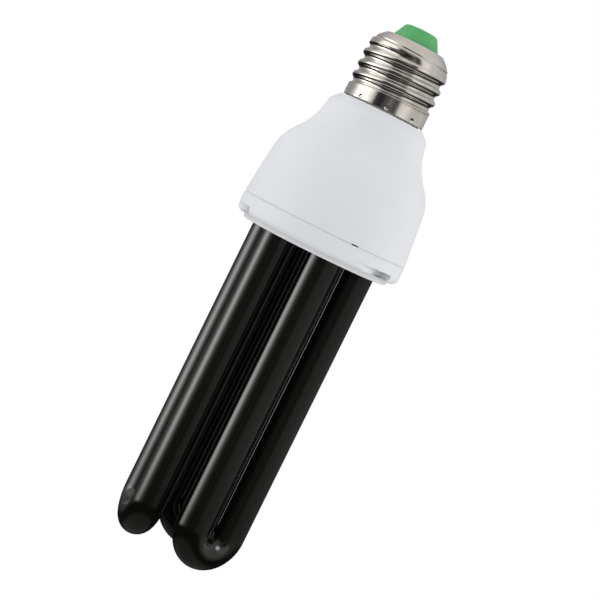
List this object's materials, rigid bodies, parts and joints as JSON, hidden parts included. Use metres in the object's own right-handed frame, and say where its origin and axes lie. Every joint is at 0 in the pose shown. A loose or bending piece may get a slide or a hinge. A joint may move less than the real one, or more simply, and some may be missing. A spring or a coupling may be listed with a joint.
{
  "type": "black light bulb",
  "caption": "Compact fluorescent ultraviolet lamp with a screw base, a bell-shaped white housing and U-shaped tubes of black glass.",
  "frame": {"origin": "on the lamp's axis at the lower edge of the screw shell's skirt, where it meets the housing", "axes": "+Z along the axis towards the centre contact, so the tubes hang along -Z; -Y faces the viewer of the picture; the front pair of legs lies about 43 degrees towards +X"},
  "size_m": [0.053, 0.053, 0.1728],
  "materials": {
    "nickel_plate": "polished nickel plate",
    "green_plastic": "moulded, satin gloss",
    "white_plastic": "moulded, fine satin",
    "black_glass": "polished, looks opaque black when unlit",
    "cement": "set filler, chalky",
    "board_laminate": "bare laminate",
    "capacitor_sleeve": "shrunk sleeve",
    "ferrite": "ground and tumbled",
    "bobbin_plastic": "moulded",
    "enamelled_copper": "enamelled wire",
    "film_coating": "dipped coating",
    "diode_case": "moulded",
    "resistor_coating": "dipped coating",
    "transistor_case": "moulded",
    "lead_sleeve": "woven glass sleeve",
    "bare_wire": "tinned wire"
  },
  "bodies": {
    "root": {"screw_shell": "nickel_plate", "contact_insulator": "green_plastic", "centre_contact": "nickel_plate", "upper_housing": "white_plastic", "tube_holder": "white_plastic", "discharge_tube": "black_glass", "tube_cement": "cement", "circuit_board": "board_laminate", "reservoir_capacitor": "capacitor_sleeve", "transformer_core": "ferrite", "transformer_bobbin": "bobbin_plastic", "transformer_winding": "enamelled_copper", "film_capacitor": "film_coating", "choke_core": "ferrite", "choke_winding": "enamelled_copper", "input_diode": "diode_case", "bias_resistors": "resistor_coating", "transistor_front": "transistor_case", "transistor_right": "transistor_case", "contact_lead": "lead_sleeve", "shell_lead": "bare_wire", "filament_wires": "bare_wire"}
  },
  "joints": []
}
